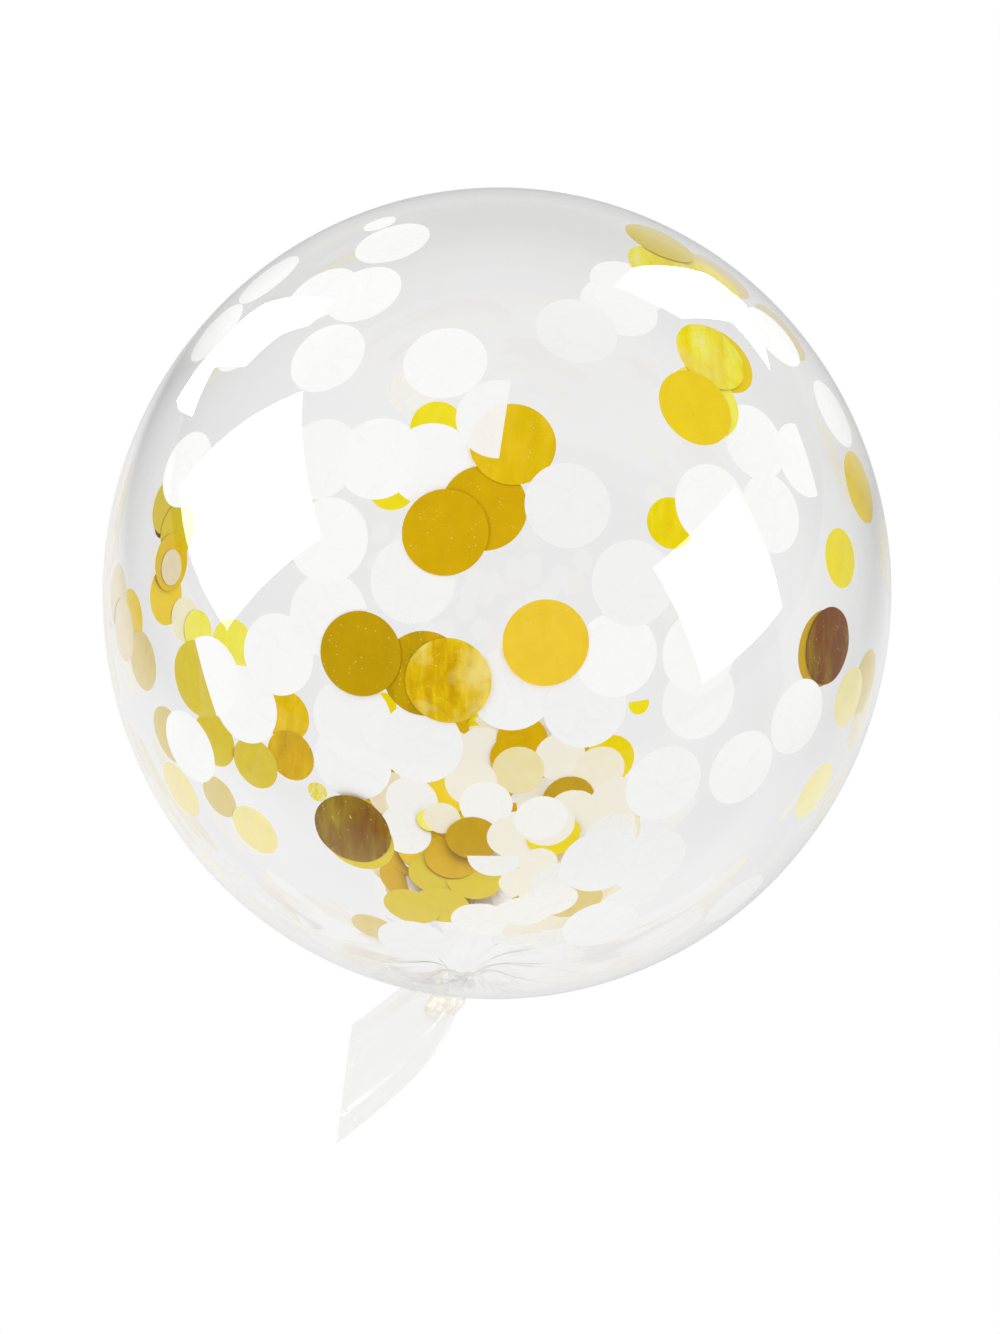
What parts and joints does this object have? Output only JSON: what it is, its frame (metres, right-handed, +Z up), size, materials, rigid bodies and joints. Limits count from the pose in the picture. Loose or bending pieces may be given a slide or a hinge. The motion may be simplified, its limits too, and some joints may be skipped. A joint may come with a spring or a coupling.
{
  "type": "confetti balloon",
  "caption": "Clear round bubble balloon holding loose gold and white confetti, blown up, knotted at its neck and lying on its side with the loose end of the film on the floor.",
  "frame": {"origin": "middle of the small flat spot under the bubble, on which the balloon rests", "axes": "+Z up, away from the floor; the neck and the loose end of the film point towards -Y, and the loose end turns towards -X"},
  "size_m": [0.45, 0.4735, 0.4562],
  "materials": {
    "clear_film": "clear, glossy stretched film with a faint grey veil, wrinkled at the neck",
    "gold_foil": "lacquered mirror foil with fine scratches, cut into discs",
    "white_tissue": "thin matt white paper that lets some light through, cut into discs"
  },
  "bodies": {
    "root": {"clear_film_balloon": "clear_film"}
  },
  "joints": []
}
